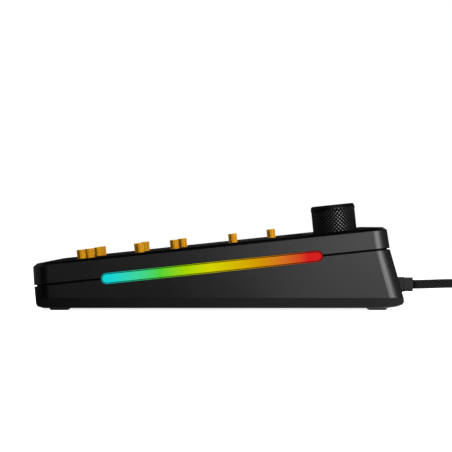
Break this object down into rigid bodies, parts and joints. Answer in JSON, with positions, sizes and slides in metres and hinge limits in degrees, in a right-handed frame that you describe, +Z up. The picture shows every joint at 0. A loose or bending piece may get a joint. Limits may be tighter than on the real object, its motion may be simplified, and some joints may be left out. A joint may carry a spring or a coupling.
{
  "type": "barebone keyboard kit",
  "caption": "Wedge-shaped full-size keyboard body with side light strips, a knurled knob and a coiled cable, open for plug-in switches and keycaps.",
  "frame": {"origin": "centre of the case's footprint on the desk, at the underside of the feet, without the cable", "axes": "+X to the right along the keyboard's width, +Y to the back where the cable leaves, +Z up"},
  "size_m": [0.4508, 0.2502, 0.0435],
  "materials": {
    "dark_anodised": "fine bead-blasted, dark anodised",
    "dark_plate": "satin, dark anodised",
    "foam": "dark open-cell foam",
    "board": "dark solder mask",
    "black_plastic": "matt black",
    "amber_plastic": "glossy golden amber",
    "steel": "drawn steel",
    "screw_steel": "black oxide",
    "brass": "plain",
    "light_lens": "milky diffuser, lit from behind",
    "light_board": "white board with small lamps",
    "knob_metal": "black anodised, knurled",
    "shaft_metal": "turned",
    "white_plastic": "matt",
    "rubber_black": "matt black",
    "plug_plastic": "matt dark grey overmould",
    "braid": "tight black braid",
    "lead_sleeve": "matt black"
  },
  "bodies": {
    "case": {"top_case": "dark_anodised", "bottom_case": "dark_anodised", "switch_plate": "dark_plate", "plate_foam": "foam", "circuit_board": "board", "controller_chip": "black_plastic", "hot_swap_sockets": "black_plastic", "case_foam": "foam", "upper_gaskets": "foam", "lower_gaskets": "foam", "light_strip_right": "light_lens", "light_strip_left": "light_lens", "light_board_right": "light_board", "light_board_left": "light_board", "light_leads": "lead_sleeve", "encoder_body": "steel", "daughter_board": "board", "usb_socket": "steel", "board_jumper": "lead_sleeve", "case_screws": "screw_steel", "spacers": "brass", "board_screws": "screw_steel", "rubber_feet": "rubber_black", "stabilizer_housings": "black_plastic", "stabilizer_screws": "screw_steel", "cable_plug": "plug_plastic", "cable_plug_shell": "steel", "cable_lead": "braid", "cable_coil": "braid", "cable_tie": "braid", "end_plug": "plug_plastic", "end_plug_shell": "steel"},
    "knob_plunger": {"encoder_button": "white_plastic"},
    "knob": {"encoder_shaft": "shaft_metal", "knob": "knob_metal", "knob_insert": "black_plastic"},
    "left_shift_stems": {"left_shift_left_stem": "amber_plastic", "left_shift_right_stem": "amber_plastic"},
    "left_shift_wire": {"left_shift_wire": "steel"},
    "right_shift_stems": {"right_shift_left_stem": "amber_plastic", "right_shift_right_stem": "amber_plastic"},
    "right_shift_wire": {"right_shift_wire": "steel"},
    "enter_stems": {"enter_left_stem": "amber_plastic", "enter_right_stem": "amber_plastic"},
    "enter_wire": {"enter_wire": "steel"},
    "backspace_stems": {"backspace_left_stem": "amber_plastic", "backspace_right_stem": "amber_plastic"},
    "backspace_wire": {"backspace_wire": "steel"},
    "space_stems": {"space_left_stem": "amber_plastic", "space_right_stem": "amber_plastic"},
    "space_wire": {"space_wire": "steel"},
    "numpad_zero_stems": {"numpad_zero_left_stem": "amber_plastic", "numpad_zero_right_stem": "amber_plastic"},
    "numpad_zero_wire": {"numpad_zero_wire": "steel"},
    "numpad_enter_stems": {"numpad_enter_back_stem": "amber_plastic", "numpad_enter_front_stem": "amber_plastic"},
    "numpad_enter_wire": {"numpad_enter_wire": "steel"},
    "numpad_plus_stems": {"numpad_plus_back_stem": "amber_plastic", "numpad_plus_front_stem": "amber_plastic"},
    "numpad_plus_wire": {"numpad_plus_wire": "steel"}
  },
  "joints": [
    {"name": "knob_press", "type": "slide", "parent": "case", "child": "knob_plunger", "axis": [0, -0.1045, 0.9945], "range_m": [-0.0005, 0], "stiffness_N_per_m": 2000, "springref_m": 0.001},
    {"name": "knob_turn", "type": "hinge", "parent": "knob_plunger", "child": "knob", "pos_m": [0.20479, 0.04734, 0.03171], "axis": [0, -0.1045, 0.9945], "continuous": true},
    {"name": "left_shift_stems_down", "type": "slide", "parent": "case", "child": "left_shift_stems", "axis": [0, -0.1045, 0.9945], "range_m": [-0.004, 0]},
    {"name": "left_shift_wire_turn", "type": "hinge", "parent": "case", "child": "left_shift_wire", "pos_m": [-0.19288, -0.04262, 0.0127], "axis": [1, 0, 0], "range_deg": [-23.64, 0]},
    {"name": "right_shift_stems_down", "type": "slide", "parent": "case", "child": "right_shift_stems", "axis": [0, -0.1045, 0.9945], "range_m": [-0.004, 0]},
    {"name": "right_shift_wire_turn", "type": "hinge", "parent": "case", "child": "right_shift_wire", "pos_m": [0.04524, -0.04262, 0.0127], "axis": [1, 0, 0], "range_deg": [-23.64, 0]},
    {"name": "enter_stems_down", "type": "slide", "parent": "case", "child": "enter_stems", "axis": [0, -0.1045, 0.9945], "range_m": [-0.004, 0]},
    {"name": "enter_wire_turn", "type": "hinge", "parent": "case", "child": "enter_wire", "pos_m": [0.05001, -0.02367, 0.01469], "axis": [1, 0, 0], "range_deg": [-23.64, 0]},
    {"name": "backspace_stems_down", "type": "slide", "parent": "case", "child": "backspace_stems", "axis": [0, -0.1045, 0.9945], "range_m": [-0.004, 0]},
    {"name": "backspace_wire_turn", "type": "hinge", "parent": "case", "child": "backspace_wire", "pos_m": [0.05239, 0.01422, 0.01868], "axis": [1, 0, 0], "range_deg": [-23.64, 0]},
    {"name": "space_stems_down", "type": "slide", "parent": "case", "child": "space_stems", "axis": [0, -0.1045, 0.9945], "range_m": [-0.004, 0]},
    {"name": "space_wire_turn", "type": "hinge", "parent": "case", "child": "space_wire", "pos_m": [-0.08334, -0.06156, 0.01071], "axis": [1, 0, 0], "range_deg": [-23.64, 0]},
    {"name": "numpad_zero_stems_down", "type": "slide", "parent": "case", "child": "numpad_zero_stems", "axis": [0, -0.1045, 0.9945], "range_m": [-0.004, 0]},
    {"name": "numpad_zero_wire_turn", "type": "hinge", "parent": "case", "child": "numpad_zero_wire", "pos_m": [0.15716, -0.06156, 0.01071], "axis": [1, 0, 0], "range_deg": [-23.64, 0]},
    {"name": "numpad_enter_stems_down", "type": "slide", "parent": "case", "child": "numpad_enter_stems", "axis": [0, -0.1045, 0.9945], "range_m": [-0.004, 0]},
    {"name": "numpad_enter_wire_turn", "type": "hinge", "parent": "case", "child": "numpad_enter_wire", "pos_m": [0.19549, -0.04284, 0.01268], "axis": [0, 0.9945, 0.1045], "range_deg": [0, 23.64]},
    {"name": "numpad_plus_stems_down", "type": "slide", "parent": "case", "child": "numpad_plus_stems", "axis": [0, -0.1045, 0.9945], "range_m": [-0.004, 0]},
    {"name": "numpad_plus_wire_turn", "type": "hinge", "parent": "case", "child": "numpad_plus_wire", "pos_m": [0.19549, -0.00495, 0.01666], "axis": [0, 0.9945, 0.1045], "range_deg": [0, 23.64]}
  ],
  "couplings": [
    {"joint": "left_shift_wire_turn", "follows": "left_shift_stems_down", "rad_per_m": 103.08},
    {"joint": "right_shift_wire_turn", "follows": "right_shift_stems_down", "rad_per_m": 103.08},
    {"joint": "enter_wire_turn", "follows": "enter_stems_down", "rad_per_m": 103.08},
    {"joint": "backspace_wire_turn", "follows": "backspace_stems_down", "rad_per_m": 103.08},
    {"joint": "space_wire_turn", "follows": "space_stems_down", "rad_per_m": 103.08},
    {"joint": "numpad_zero_wire_turn", "follows": "numpad_zero_stems_down", "rad_per_m": 103.08},
    {"joint": "numpad_enter_wire_turn", "follows": "numpad_enter_stems_down", "rad_per_m": -103.08},
    {"joint": "numpad_plus_wire_turn", "follows": "numpad_plus_stems_down", "rad_per_m": -103.08}
  ]
}
